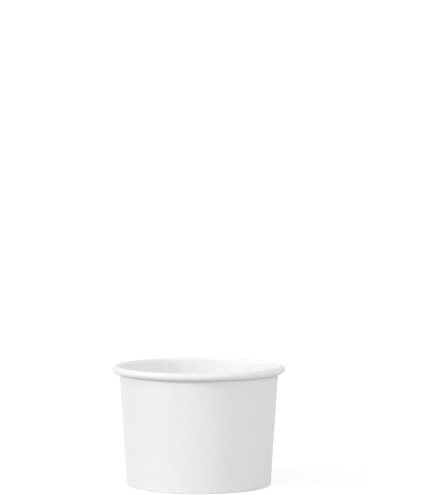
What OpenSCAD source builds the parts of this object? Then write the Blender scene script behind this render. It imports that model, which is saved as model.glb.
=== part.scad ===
// A sundae cup of coated paper board, made from two blanks.
// The side wall is one tapered blank: its ends overlap in a sealed seam, its upper
// edge is rolled outwards into the rim, and its lower edge is folded up inside as a hem.
// The bottom disc hangs above the table: its turned-down skirt is held in the hem.
// The cup stands on the table at height 0, with its centre line on the Z axis.

/* [Cup] */
// Diameter over the rolled rim
rim_diameter = 95; // [90:0.5:110]
// Diameter of the wall's outer face at the table
base_diameter = 79.2; // [66:0.1:84]
// Height from the table to the top of the rim
cup_height = 65.3; // [45:0.1:130]

/* [Board] */
// Thickness of the side wall's board
wall_thickness = 0.4; // [0.3:0.05:0.6]
// Thickness of the bottom disc's board
disc_thickness = 0.35; // [0.25:0.05:0.6]
// Thickness of the melted coating between sealed layers
seal_film = 0.03; // [0.02:0.01:0.06]

/* [Rolled rim] */
// Width of the roll, from the inside of the wall to the rim's outer edge
roll_width = 4.1; // [3.4:0.1:5]
// Extra height of the roll, over that of a round one
roll_stretch = 0.1; // [0.1:0.1:1.5]
// Gap between the wall and the edge that is turned in under the roll
roll_gap = 0.1; // [0.05:0.05:0.3]
// Length of the free edge that stands up inside the roll
tuck_length = 0.3; // [0.1:0.05:0.35]

/* [Side seam] */
// Width of the overlap between the blank's two ends
lap_width = 7; // [5:0.5:10]
// Direction of the overlap, turned from the cup's right towards its back
lap_angle = 40; // [26:1:64]
// Width of the slope on which the outer end comes down to the wall
lap_slope_width = 1.4; // [1:0.1:2.5]

/* [Bottom] */
// Height of the disc's upper face above the table
disc_height = 8.4; // [8:0.1:14]
// Inside radius of the bend between the disc and its skirt
disc_bend_radius = 0.5; // [0.3:0.1:1]
// Gap under the skirt's lower edge, in the fold of the hem
skirt_gap = 0.2; // [0.1:0.1:1]
// Height of the hem above the table
hem_height = 6.8; // [4:0.1:7.2]
// Outside radius of the heel, where the wall turns under into the hem
heel_radius = 0.3; // [0.2:0.05:0.5]

/* [Hidden] */
$fn = 180;
arc_step = 10;
board_white = [0.96, 0.96, 0.95];
disc_white = [0.93, 0.93, 0.91];

rim_radius = rim_diameter / 2;
base_radius = base_diameter / 2;

// The roll is a spiral of two half turns. The lower one is narrower by the board
// and the gap, so that it comes back in beside the wall.
high_roll_radius = roll_width / 2;
low_roll_radius = high_roll_radius - (wall_thickness + roll_gap) / 2;
high_roll_centre = [rim_radius - high_roll_radius, cup_height - high_roll_radius];
low_roll_centre = [rim_radius - low_roll_radius, high_roll_centre.y - roll_stretch];

// The wall leans outwards by this angle, so that it starts at the base's diameter
// and runs smoothly into the roll's upper half turn.
wall_run = high_roll_centre - [base_radius, 0];
taper = acos((high_roll_radius - wall_thickness) / norm(wall_run)) - atan2(wall_run.y, wall_run.x);
wall_length = wall_run.x * sin(taper) + wall_run.y * cos(taper);

// The hem's layers, measured square to the wall from its outer face
skirt_depth = wall_thickness + seal_film;
hem_depth = skirt_depth + disc_thickness + seal_film;
fold_depth = hem_depth + wall_thickness;

// The disc's bend touches the wall and its upper face lies at the disc's height
skirt_bottom = wall_thickness + skirt_gap;
bend_outer_radius = disc_bend_radius + disc_thickness;
bend_height = disc_height - bend_outer_radius;
bend_centre = [wall_radius(bend_height, skirt_depth + bend_outer_radius), bend_height];

// The lap is drawn from half a board inside the wall, so that the two are one solid
lap_root = wall_thickness / 2;
lap_face = 2 * wall_thickness;
lap_end_angle = -75;
lap_edge = lap_width / 2;
slope_edge = lap_edge + lap_slope_width;
cut_margin = 1;

// Radius at height z of the surface that lies a given depth inside the wall's outer face
function wall_radius(z, depth) = base_radius + z * tan(taper) - depth / cos(taper);

// How far the round wall falls behind its tangent at a distance y to the side
function fall(y) = base_radius - sqrt(base_radius * base_radius - y * y);

// Points on an arc, in steps of about the same angle
function arc(centre, radius, from, to) =
    let (steps = ceil(abs(to - from) / arc_step))
    [for (i = [0:steps]) let (a = from + (to - from) * i / steps) centre + radius * [cos(a), sin(a)]];

function reversed(points) = [for (i = [len(points) - 1:-1:0]) points[i]];

// The paths below run in the board, at a distance from its food side, which is the
// face inside the cup, on top of the roll and in the fold of the hem.

// Over the roll: up from the wall, down the outside and back in, as far as an angle
function roll_path(distance, end_angle) = concat(
    arc(high_roll_centre, high_roll_radius - distance, 180 - taper, 0),
    arc(low_roll_centre, low_roll_radius - distance, 0, end_angle)
);

// The free edge, turned up inside the roll
function tuck_end(distance) =
    [rim_radius - 2 * low_roll_radius + distance, low_roll_centre.y + tuck_length];

// One corner of the heel: rounded, or sharp where the board has no room for a radius
function heel_corner(depth, distance, side, from, to) =
    let (
        radius = heel_radius + distance - wall_thickness,
        z = wall_thickness - distance,
        centre = [wall_radius(heel_radius, depth + side * heel_radius), heel_radius]
    )
    radius > 0
        ? arc(centre, radius, from, to)
        : [[wall_radius(z, depth + side * z), z]];

// Down the hem, under the flat foot and round to the wall
function heel_path(distance) = concat(
    [[wall_radius(hem_height, hem_depth + distance), hem_height]],
    heel_corner(fold_depth, distance, -1, 180 - taper, 270),
    heel_corner(0, distance, 1, 270, 360 - taper)
);

// The flat section of a board between two paths
module between(near_path, far_path) {
    polygon(concat(near_path, reversed(far_path)));
}

function blank_path(distance) =
    concat(heel_path(distance), roll_path(distance, -180), [tuck_end(distance)]);

module blank_section() {
    between(blank_path(0), blank_path(wall_thickness));
}

// The blank's second end lies on the outside of the wall, from above the heel that is
// pressed flat, and inside the roll almost as far as its lowest point.
function lap_path(distance) = concat(
    [[wall_radius(heel_radius, wall_thickness - distance), heel_radius]],
    roll_path(distance, lap_end_angle)
);

module lap_section() {
    between(lap_path(lap_root), lap_path(lap_face));
}

// On the hem, the second end lies on the side towards the cup's centre
module hem_lap_section() {
    root = hem_depth + lap_root;
    face = hem_depth + lap_face;
    polygon([
        [wall_radius(heel_radius, root), heel_radius],
        [wall_radius(hem_height, root), hem_height],
        [wall_radius(hem_height, face), hem_height],
        [wall_radius(heel_radius, face), heel_radius]
    ]);
}

module lap() {
    intersection() {
        rotate_extrude() {
            lap_section();
            hem_lap_section();
        }
        translate([0, -lap_edge, -cut_margin])
            cube([rim_diameter, lap_width, cup_height + 2 * cut_margin]);
    }
}

// A bar that runs up the wall at the seam. Its section has X square to the wall, from
// the wall's outer face, and Y round the cup.
module along_seam(start) {
    translate([base_radius, 0, 0])
        rotate([0, taper, 0])
            translate([0, 0, start])
                linear_extrude(wall_length - start) children();
}

// Outside, the outer end slopes down from the lap to the wall
module lap_slope() {
    along_seam(heel_radius)
        polygon([
            [-lap_root, lap_edge - lap_root],
            [wall_thickness - fall(lap_edge), lap_edge - lap_root],
            [wall_thickness - fall(lap_edge), lap_edge],
            [-fall(slope_edge), slope_edge],
            [-lap_root - fall(slope_edge), slope_edge]
        ]);
}

// Inside, the same slope leaves a groove beside the inner end's cut edge
module lap_groove() {
    along_seam(bend_height)
        polygon([
            [-wall_thickness - cut_margin, lap_edge],
            [-fall(lap_edge), lap_edge],
            [-wall_thickness - fall(slope_edge), slope_edge],
            [-wall_thickness - cut_margin, slope_edge]
        ]);
}

module side_wall() {
    color(board_white)
        difference() {
            union() {
                rotate_extrude() blank_section();
                rotate([0, 0, lap_angle]) {
                    lap();
                    lap_slope();
                }
            }
            rotate([0, 0, lap_angle]) lap_groove();
        }
}

// Out along the disc at a distance under its upper face, round the bend and down the skirt
function disc_path(distance) = concat(
    [[0, disc_height - distance]],
    arc(bend_centre, bend_outer_radius - distance, 90, -taper),
    [[wall_radius(skirt_bottom, skirt_depth + distance), skirt_bottom]]
);

module bottom_disc() {
    color(disc_white)
        rotate_extrude()
            between(disc_path(0), disc_path(disc_thickness));
}

side_wall();
bottom_disc();
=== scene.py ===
"""A white paper sundae cup: a lapped and rolled side wall round a recessed bottom disc.

Each board is drawn as the sheet that it is, on the side that touches the food, and then
given its thickness. Lengths are in metres and angles in degrees.
"""

import math

import bpy
import numpy as np
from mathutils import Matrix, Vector


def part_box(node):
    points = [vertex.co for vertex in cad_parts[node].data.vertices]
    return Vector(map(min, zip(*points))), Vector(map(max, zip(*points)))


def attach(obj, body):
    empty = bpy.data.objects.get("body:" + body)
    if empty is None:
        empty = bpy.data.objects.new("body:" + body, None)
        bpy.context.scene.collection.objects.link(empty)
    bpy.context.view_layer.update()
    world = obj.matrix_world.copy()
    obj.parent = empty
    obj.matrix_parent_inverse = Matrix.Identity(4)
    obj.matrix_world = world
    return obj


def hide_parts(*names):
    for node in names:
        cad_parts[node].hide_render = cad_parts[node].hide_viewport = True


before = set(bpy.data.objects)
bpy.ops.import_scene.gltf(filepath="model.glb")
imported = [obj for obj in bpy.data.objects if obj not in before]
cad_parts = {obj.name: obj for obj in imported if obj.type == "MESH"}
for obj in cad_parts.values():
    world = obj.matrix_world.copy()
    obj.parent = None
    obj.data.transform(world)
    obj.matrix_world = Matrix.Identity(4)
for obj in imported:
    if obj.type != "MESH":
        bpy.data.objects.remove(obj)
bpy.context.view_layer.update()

# Sizes of the cup

MM = 0.001

wall_low, wall_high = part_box("side_wall")
disc_low, disc_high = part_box("bottom_disc")
CUP_HEIGHT = wall_high.z
RIM_RADIUS = (wall_high.x - wall_low.x) / 2
BASE_RADIUS = 39.6 * MM

BOARD = 0.4 * MM
DISC_BOARD = 0.35 * MM
SEAL_FILM = 0.03 * MM

ROLL_WIDTH = 4.1 * MM
ROLL_STRETCH = 0.1 * MM
ROLL_GAP = 0.1 * MM
TUCK_LENGTH = 0.3 * MM

HEM_HEIGHT = 6.8 * MM

# The fold under the foot, whose outside radius is a little more than the board
HEEL_RADIUS = 0.42 * MM

DISC_HEIGHT = disc_high.z
DISC_BEND_RADIUS = 0.5 * MM
SKIRT_BOTTOM = disc_low.z

# The seam, in columns of the turned wall. The blank starts half a lap before its middle.
SEAM_ANGLE = 40.0
COLUMN_ANGLE = 0.75
TURN_COLUMNS = 480
LAP_COLUMNS = 13
FIRST_ANGLE = SEAM_ANGLE - LAP_COLUMNS * COLUMN_ANGLE / 2

# How far the outer end stands off the inner one, and what is left of that on its slope
SEAM_STEP = BOARD + SEAL_FILM
SLOPE_SHARES = (0.76, 0.26)

# Inside the roll the turned-in edge makes room for the lap over this many columns
ROOM_COLUMNS = 5

# Up to the first height the seam's layers are pressed into one board, and from the
# second on both are full. The inner end is cut away below the third.
PRESSED_HEIGHT = 1.0 * MM
FREE_HEIGHT = 2.2 * MM
SKIVED_HEIGHT = 1.1 * FREE_HEIGHT

# The upright marks that the closing tool leaves on the hem, one in every few columns
MARK_COLUMNS = 3
MARK_DEPTH = 0.15 * MM
MARK_LOW = 2.0 * MM
MARK_HIGH = 6.2 * MM

# How finely the sheets are divided along their sections, and the disc round its middle
HEM_ROWS = 5
HEEL_STEPS = 3
WALL_ROWS = 15
HIGH_TURN_STEPS = 15
LOW_TURN_STEPS = 12
DISC_RINGS = 10
BEND_STEPS = 8
SKIRT_ROWS = 4
DISC_COLUMNS = 240

# The straight wall's last row lies this far under the middle of the roll
ROLL_LEAD = 1.5 * MM

# Between these heights the side wall is a single cone
CONE_LOW = 20 * MM
CONE_HIGH = 50 * MM

# Points closer than this are one, and a point this near a surface is on it
MERGE_DISTANCE = 0.001 * MM
ON_SURFACE = 0.01 * MM

# Edges sharper than this stay sharp
CREASE_ANGLE = 35.0

# Shape that follows from the sizes. A place in the section is a radius and a height.

HIGH_ROLL_RADIUS = ROLL_WIDTH / 2
LOW_ROLL_RADIUS = HIGH_ROLL_RADIUS - (BOARD + ROLL_GAP) / 2
HIGH_ROLL_CENTRE = (RIM_RADIUS - HIGH_ROLL_RADIUS, CUP_HEIGHT - HIGH_ROLL_RADIUS)
LOW_ROLL_CENTRE = (RIM_RADIUS - LOW_ROLL_RADIUS, HIGH_ROLL_CENTRE[1] - ROLL_STRETCH)

# The wall's lean takes it from the base's radius smoothly into the roll
run_out = HIGH_ROLL_CENTRE[0] - BASE_RADIUS
run_up = HIGH_ROLL_CENTRE[1]
TAPER = math.degrees(
    math.acos((HIGH_ROLL_RADIUS - BOARD) / math.hypot(run_out, run_up)) - math.atan2(run_up, run_out)
)

SKIRT_DEPTH = BOARD + SEAL_FILM
HEM_DEPTH = SKIRT_DEPTH + DISC_BOARD + SEAL_FILM
FOLD_DEPTH = HEM_DEPTH + BOARD


def wall_radius(z, depth):
    """Radius at height z of the surface that lies a depth inside the wall's outer face."""
    lean = math.radians(TAPER)
    return BASE_RADIUS + z * math.tan(lean) - depth / math.cos(lean)


def arc(centre, radius, start, end, steps):
    """Points on an arc, each a radius from the cup's axis and a height."""
    turns = np.radians(np.linspace(start, end, steps + 1))
    return [(centre[0] + radius * math.cos(a), centre[1] + radius * math.sin(a)) for a in turns]


def heel_corner(depth, side, start, end):
    """One corner of the fold under the foot, on the food side."""
    centre = (wall_radius(HEEL_RADIUS, depth + side * HEEL_RADIUS), HEEL_RADIUS)
    return arc(centre, HEEL_RADIUS - BOARD, start, end, HEEL_STEPS)


def wall_path():
    """The wall's blank, from the hem's edge round the heel, up the wall and round the roll."""
    hem_heights = [*np.linspace(HEM_HEIGHT, FREE_HEIGHT, HEM_ROWS), PRESSED_HEIGHT]
    hem = [(wall_radius(z, HEM_DEPTH), z) for z in hem_heights]
    heel = heel_corner(FOLD_DEPTH, -1, 180 - TAPER, 270) + heel_corner(0, 1, 270, 360 - TAPER)
    wall_top = HIGH_ROLL_CENTRE[1] - ROLL_LEAD
    wall_heights = [PRESSED_HEIGHT, *np.linspace(FREE_HEIGHT, wall_top, WALL_ROWS)]
    wall = [(wall_radius(z, BOARD), z) for z in wall_heights]
    high_turn = arc(HIGH_ROLL_CENTRE, HIGH_ROLL_RADIUS, 180 - TAPER, 0, HIGH_TURN_STEPS)
    low_turn = arc(LOW_ROLL_CENTRE, LOW_ROLL_RADIUS, 0, -180, LOW_TURN_STEPS)
    tuck = [(RIM_RADIUS - 2 * LOW_ROLL_RADIUS, LOW_ROLL_CENTRE[1] + TUCK_LENGTH)]
    return hem + heel + wall + high_turn + low_turn + tuck


def disc_path():
    """The disc's blank, from the middle out, over the bend and down the skirt."""
    bend = DISC_BEND_RADIUS + DISC_BOARD
    height = DISC_HEIGHT - bend
    centre = (wall_radius(height, SKIRT_DEPTH + bend), height)
    flat = [(radius, DISC_HEIGHT) for radius in np.linspace(0, centre[0], DISC_RINGS)[:-1]]
    skirt_heights = np.linspace(HEM_HEIGHT, SKIRT_BOTTOM, SKIRT_ROWS)
    skirt = [(wall_radius(z, SKIRT_DEPTH), z) for z in skirt_heights]
    return flat + arc(centre, bend, 90, -TAPER, BEND_STEPS) + skirt


# Modelling by hand


def pick(piece):
    """Leaves only this piece selected, in object mode."""
    if bpy.context.object and bpy.context.object.mode != "OBJECT":
        bpy.ops.object.mode_set(mode="OBJECT")
    bpy.ops.object.select_all(action="DESELECT")
    if piece:
        piece.select_set(True)
        bpy.context.view_layer.objects.active = piece


def points_of(piece):
    """The places of a piece's points, one row for each."""
    places = np.zeros(len(piece.data.vertices) * 3)
    piece.data.vertices.foreach_get("co", places)
    return places.reshape(-1, 3)


def draw_profile(name, path, angle):
    """Draws a path in the upright plane that stands at an angle round the cup's axis."""
    pick(None)
    bpy.ops.mesh.primitive_plane_add(size=MM, location=(0, 0, 0))
    piece = bpy.context.object
    piece.name = name
    bpy.ops.object.mode_set(mode="EDIT")
    bpy.ops.mesh.select_mode(type="VERT")
    bpy.ops.mesh.select_all(action="SELECT")
    bpy.ops.mesh.merge(type="CENTER")
    out = Vector((math.cos(math.radians(angle)), math.sin(math.radians(angle)), 0))
    places = [out * radius + Vector((0, 0, height)) for radius, height in path]
    bpy.ops.transform.translate(value=places[0])
    for before, after in zip(places, places[1:]):
        bpy.ops.mesh.extrude_vertices_move(TRANSFORM_OT_translate={"value": after - before})
    return piece


def spin_profile(columns, angle):
    """Turns the profile anticlockwise about the cup's axis."""
    bpy.ops.mesh.select_all(action="SELECT")
    bpy.ops.mesh.spin(
        steps=columns,
        angle=math.radians(angle),
        center=(0, 0, 0),
        axis=(0, 0, -1),
        use_auto_merge=False,
    )
    bpy.ops.object.mode_set(mode="OBJECT")


def face_outwards(piece, low, high):
    """Turns the faces alike, so that those between two heights look away from the axis."""
    pick(piece)
    bpy.ops.object.mode_set(mode="EDIT")
    bpy.ops.mesh.select_all(action="SELECT")
    bpy.ops.mesh.normals_make_consistent(inside=False)
    bpy.ops.object.mode_set(mode="OBJECT")
    stretch = [face for face in piece.data.polygons if low < face.center.z < high]
    outward = sum(face.normal.xy.dot(face.center.xy) for face in stretch)
    if outward < 0:
        bpy.ops.object.mode_set(mode="EDIT")
        bpy.ops.mesh.select_all(action="SELECT")
        bpy.ops.mesh.flip_normals()
        bpy.ops.object.mode_set(mode="OBJECT")


def columns_and_rows(piece, path):
    """The column of each point of a turned profile, and its place along the path."""
    points = points_of(piece)
    x, y, z = points[: len(path)].T
    first = np.stack([np.hypot(x, y), z], axis=1)
    gaps = np.linalg.norm(first[:, None] - np.array(path)[None], axis=2)
    columns = np.arange(len(points)) // len(path)
    return columns, np.tile(gaps.argmin(axis=1), len(points) // len(path))


def select_points(piece, chosen):
    """Selects the points of a mask, and stays in edit mode."""
    bpy.ops.object.mode_set(mode="EDIT")
    bpy.ops.mesh.select_mode(type="VERT")
    bpy.ops.mesh.select_all(action="DESELECT")
    bpy.ops.object.mode_set(mode="OBJECT")
    piece.data.vertices.foreach_set("select", chosen)
    bpy.ops.object.mode_set(mode="EDIT")


def push_out(piece, chosen, distance):
    """Moves points along the sheet's normals."""
    select_points(piece, chosen)
    bpy.ops.transform.shrink_fatten(value=distance)
    bpy.ops.object.mode_set(mode="OBJECT")


def delete_between(piece, chosen):
    """Deletes the faces that have all their corners in a mask."""
    select_points(piece, chosen)
    bpy.ops.mesh.select_mode(type="FACE")
    bpy.ops.mesh.delete(type="FACE")
    bpy.ops.object.mode_set(mode="OBJECT")


def thicken(piece, face_material, thickness, offset):
    """Makes a sheet a board, which grows from its faces' front at 1 and from their back at -1."""
    piece.data.materials.append(face_material)
    piece.data.materials.append(cut_edge)
    pick(piece)
    board = piece.modifiers.new("board", "SOLIDIFY")
    board.thickness = thickness
    board.offset = offset
    board.use_even_offset = True
    board.material_offset_rim = 1
    bpy.ops.object.modifier_apply(modifier=board.name)


def smooth_shade(piece):
    """Shades a piece smoothly, apart from its sharp edges."""
    pick(piece)
    bpy.ops.object.shade_smooth_by_angle(angle=math.radians(CREASE_ANGLE))


# Materials

# Where a colour mix keeps its sockets
MIX_FACTOR = 0
MIX_FIRST = 6
MIX_SECOND = 7
MIX_RESULT = 2

# How far a board's roughness goes up and down over its surface, and how rough its film is
ROUGHNESS_SWING = 0.11
FILM_ROUGHNESS = 0.3


def make_board_surface():
    """A board's mottled colour, its uneven gloss and the height of its fibres."""
    tree = bpy.data.node_groups.new("board_surface", "ShaderNodeTree")
    nodes, links = tree.nodes, tree.links

    def socket(name, direction, kind):
        tree.interface.new_socket(name=name, in_out=direction, socket_type=kind)

    socket("Colour", "INPUT", "NodeSocketColor")
    socket("Shade Colour", "INPUT", "NodeSocketColor")
    socket("Mottle", "INPUT", "NodeSocketFloat")
    socket("Fibre", "INPUT", "NodeSocketFloat")
    socket("Roughness", "INPUT", "NodeSocketFloat")
    socket("Colour", "OUTPUT", "NodeSocketColor")
    socket("Roughness", "OUTPUT", "NodeSocketFloat")
    socket("Height", "OUTPUT", "NodeSocketFloat")
    start, end = nodes.new("NodeGroupInput"), nodes.new("NodeGroupOutput")
    place = nodes.new("ShaderNodeTexCoord")

    def noise(scale, detail, distortion):
        node = nodes.new("ShaderNodeTexNoise")
        node.inputs["Scale"].default_value = scale
        node.inputs["Detail"].default_value = detail
        node.inputs["Distortion"].default_value = distortion
        links.new(place.outputs["Object"], node.inputs["Vector"])
        return node.outputs["Fac"]

    def maths(operation, *terms):
        node = nodes.new("ShaderNodeMath")
        node.operation = operation
        for target, term in zip(node.inputs, terms):
            if isinstance(term, (int, float)):
                target.default_value = term
            else:
                links.new(term, target)
        return node.outputs[0]

    # The board's clouding is about 5 mm across, the unevenness under its film less than
    # 2 mm and its fibres less than 1 mm
    clouds = noise(scale=210, detail=3, distortion=0.4)
    peel = noise(scale=620, detail=2, distortion=0.3)
    fibres = noise(scale=1500, detail=4, distortion=2.2)

    blend = nodes.new("ShaderNodeMix")
    blend.data_type = "RGBA"
    links.new(maths("MULTIPLY", clouds, start.outputs["Mottle"]), blend.inputs[MIX_FACTOR])
    links.new(start.outputs["Colour"], blend.inputs[MIX_FIRST])
    links.new(start.outputs["Shade Colour"], blend.inputs[MIX_SECOND])
    links.new(blend.outputs[MIX_RESULT], end.inputs["Colour"])

    uneven = maths("MULTIPLY_ADD", peel, 2 * ROUGHNESS_SWING, -ROUGHNESS_SWING)
    links.new(maths("ADD", start.outputs["Roughness"], uneven), end.inputs["Roughness"])
    links.new(maths("MULTIPLY_ADD", fibres, start.outputs["Fibre"], peel), end.inputs["Height"])
    return tree


board_surface = make_board_surface()


def board_material(name, colour, shade, mottle, fibre, roughness, relief, coat):
    """A board's material. relief is the bump's distance, and coat the share of its film."""
    material = bpy.data.materials.new(name)
    material.use_nodes = True
    nodes, links = material.node_tree.nodes, material.node_tree.links
    shader = nodes["Principled BSDF"]
    surface = nodes.new("ShaderNodeGroup")
    surface.node_tree = board_surface
    surface.inputs["Colour"].default_value = (*colour, 1)
    surface.inputs["Shade Colour"].default_value = (*shade, 1)
    surface.inputs["Mottle"].default_value = mottle
    surface.inputs["Fibre"].default_value = fibre
    surface.inputs["Roughness"].default_value = roughness
    bump = nodes.new("ShaderNodeBump")
    bump.inputs["Distance"].default_value = relief
    links.new(surface.outputs["Height"], bump.inputs["Height"])
    links.new(surface.outputs["Colour"], shader.inputs["Base Color"])
    links.new(surface.outputs["Roughness"], shader.inputs["Roughness"])
    links.new(bump.outputs["Normal"], shader.inputs["Normal"])
    shader.inputs["Coat Weight"].default_value = coat
    shader.inputs["Coat Roughness"].default_value = FILM_ROUGHNESS
    return material


coated_board = board_material(
    name="coated_board",
    colour=(0.935, 0.935, 0.937),
    shade=(0.87, 0.87, 0.866),
    mottle=0.6,
    fibre=0.45,
    roughness=0.6,
    relief=0.1 * MM,
    coat=0.15,
)
bottom_board = board_material(
    name="bottom_board",
    colour=(0.92, 0.92, 0.91),
    shade=(0.84, 0.84, 0.825),
    mottle=0.6,
    fibre=0.6,
    roughness=0.5,
    relief=0.12 * MM,
    coat=0.1,
)
cut_edge = board_material(
    name="cut_edge",
    colour=(0.8, 0.77, 0.7),
    shade=(0.62, 0.58, 0.5),
    mottle=0.8,
    fibre=1.6,
    roughness=0.9,
    relief=0.03 * MM,
    coat=0,
)

# The side wall, one blank whose ends lap


def make_wall():
    """The sheet of the side wall, wrapped round with its ends lapped."""
    path = wall_path()
    piece = draw_profile("cup_wall", path, FIRST_ANGLE)
    columns = TURN_COLUMNS + LAP_COLUMNS
    spin_profile(columns, columns * COLUMN_ANGLE)
    face_outwards(piece, CONE_LOW, CONE_HIGH)

    # The sheet is turned in past the roll's lowest point, halfway round its lower turn
    column, row = columns_and_rows(piece, path)
    height = np.array(path)[row, 1]
    lowest_row = len(path) - 2 - LOW_TURN_STEPS // 2
    in_roll = row > lowest_row
    pressed = (height < (PRESSED_HEIGHT + FREE_HEIGHT) / 2) & ~in_roll
    outer_end = column <= LAP_COLUMNS
    inner_end = column >= TURN_COLUMNS

    # The outer end lies on the inner one, and comes down to the wall on a slope
    push_out(piece, outer_end & ~pressed, SEAM_STEP)
    for step, share in enumerate(SLOPE_SHARES, start=1):
        push_out(piece, (column == LAP_COLUMNS + step) & ~pressed, SEAM_STEP * share)

    # Inside the roll the turned-in edge makes room for the outer end
    push_out(piece, inner_end & in_roll, SEAM_STEP)
    for step in range(1, ROOM_COLUMNS + 1):
        share = 1 - step / (ROOM_COLUMNS + 1)
        push_out(piece, (column == TURN_COLUMNS - step) & in_roll, SEAM_STEP * share)

    # The outer end stops inside the roll, and the inner end stops above the heel
    skived = inner_end & (height < SKIVED_HEIGHT) & ~in_roll
    delete_between(piece, (outer_end & in_roll) | skived)
    return piece


def mark_hem(piece):
    """Presses the closing tool's marks into the side of the hem that faces the recess."""
    x, y, z = points_of(piece).T
    radius = np.hypot(x, y)
    column = np.round((np.degrees(np.arctan2(y, x)) - FIRST_ANGLE) / COLUMN_ANGLE)

    # The hem is one board thick, and two where the ends lap
    single = np.abs(radius - wall_radius(z, FOLD_DEPTH)) < ON_SURFACE
    double = np.abs(radius - wall_radius(z, FOLD_DEPTH + SEAM_STEP)) < ON_SURFACE

    band = (z > MARK_LOW) & (z < MARK_HIGH)
    pick(piece)
    push_out(piece, (single | double) & band & (column % MARK_COLUMNS == 0), -MARK_DEPTH)


cup_wall = make_wall()
thicken(cup_wall, coated_board, BOARD, offset=1)
mark_hem(cup_wall)
smooth_shade(cup_wall)
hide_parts("side_wall")
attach(cup_wall, "root")

# The bottom disc, with its skirt turned down


def make_disc():
    """The sheet of the bottom, closed at its middle and where the turn ends."""
    piece = draw_profile("cup_bottom", disc_path(), 0)
    spin_profile(DISC_COLUMNS, 360)
    pick(piece)
    bpy.ops.object.mode_set(mode="EDIT")
    bpy.ops.mesh.select_all(action="SELECT")
    bpy.ops.mesh.remove_doubles(threshold=MERGE_DISTANCE)
    face_outwards(piece, SKIRT_BOTTOM, HEM_HEIGHT)
    return piece


cup_bottom = make_disc()
thicken(cup_bottom, bottom_board, DISC_BOARD, offset=-1)
smooth_shade(cup_bottom)
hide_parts("bottom_disc")
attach(cup_bottom, "root")

# Studio

# The floor's shade is what it throws back on the cup. Its white and its glow are what shows.
FLOOR_SIZE = 60.0
FLOOR_SHADE = 0.56
FLOOR_WHITE = 0.95
FLOOR_GLOW = 0.3
FLOOR_ROUGHNESS = 0.9

# The even light of the room, and the white that shows behind the cup
AMBIENT = 0.675
BACKDROP = 1.08

# Both lamps stand this high over the floor, and spread over this angle
LAMP_HEIGHT = 22.0
LAMP_SPREAD = 12.0

# The camera's place, how far it looks down and to its left, and its lens
CAMERA_PLACE = (0, -1.2576, 0.1896)
CAMERA_DOWN = 2.719
CAMERA_TURN = -0.470
CAMERA_SENSOR = 36
CAMERA_LENS = 167.27
CAMERA_REACH = 100


def light_or_white(nodes, links, light, white):
    """White for what the camera, a reflection or glass sees, and light for what falls on the cup."""
    path = nodes.new("ShaderNodeLightPath")
    seen = path.outputs["Is Camera Ray"]
    for name in ("Is Glossy Ray", "Is Transmission Ray"):
        either = nodes.new("ShaderNodeMath")
        either.operation = "MAXIMUM"
        links.new(seen, either.inputs[0])
        links.new(path.outputs[name], either.inputs[1])
        seen = either.outputs[0]
    level = nodes.new("ShaderNodeMapRange")
    level.inputs["To Min"].default_value = light
    level.inputs["To Max"].default_value = white
    links.new(seen, level.inputs["Value"])
    return level.outputs["Result"]


def make_floor():
    """A floor that shows white and keeps the cup's shadow."""
    pick(None)
    bpy.ops.mesh.primitive_plane_add(size=FLOOR_SIZE, location=(0, 0, 0))
    floor = bpy.context.object
    floor.name = "studio_floor"
    material = bpy.data.materials.new("studio_floor")
    material.use_nodes = True
    nodes, links = material.node_tree.nodes, material.node_tree.links
    shader = nodes["Principled BSDF"]
    links.new(light_or_white(nodes, links, FLOOR_SHADE, FLOOR_WHITE), shader.inputs["Base Color"])
    shader.inputs["Roughness"].default_value = FLOOR_ROUGHNESS
    shader.inputs["Specular IOR Level"].default_value = 0
    shader.inputs["Emission Color"].default_value = (1, 1, 1, 1)
    links.new(light_or_white(nodes, links, 0, FLOOR_GLOW), shader.inputs["Emission Strength"])
    floor.data.materials.append(material)


def make_world():
    """Even light from all sides, before a white background."""
    world = bpy.data.worlds.new("studio")
    bpy.context.scene.world = world
    world.use_nodes = True
    nodes, links = world.node_tree.nodes, world.node_tree.links
    background = nodes["Background"]
    background.inputs["Color"].default_value = (1, 1, 1, 1)
    links.new(light_or_white(nodes, links, AMBIENT, BACKDROP), background.inputs["Strength"])


def make_lamp(name, colour, strength, side):
    """A broad lamp. side is how far it stands to the camera's right."""
    lamp = bpy.data.lights.new(name, "SUN")
    lamp.color = colour
    lamp.energy = strength
    lamp.angle = math.radians(LAMP_SPREAD)
    holder = bpy.data.objects.new(name, lamp)
    bpy.context.collection.objects.link(holder)
    turn, up = math.radians(side), math.radians(LAMP_HEIGHT)
    towards = Vector((math.sin(turn) * math.cos(up), -math.cos(turn) * math.cos(up), math.sin(up)))
    holder.rotation_euler = towards.to_track_quat("Z", "Y").to_euler()


def make_camera():
    """A camera at the photograph's viewing angle."""
    lens = bpy.data.cameras.new("photo_view")
    lens.sensor_width = CAMERA_SENSOR
    lens.lens = CAMERA_LENS
    lens.clip_end = CAMERA_REACH
    camera = bpy.data.objects.new("photo_view", lens)
    bpy.context.collection.objects.link(camera)
    camera.location = CAMERA_PLACE
    camera.rotation_euler = (math.radians(90 - CAMERA_DOWN), 0, math.radians(CAMERA_TURN))
    bpy.context.scene.camera = camera


make_floor()
make_world()
make_lamp("key", colour=(0.97, 0.985, 1.0), strength=1.17, side=-65.0)
make_lamp("fill", colour=(1.0, 0.975, 0.9), strength=0.6, side=30.0)
make_camera()
bpy.context.scene.view_settings.view_transform = "Standard"
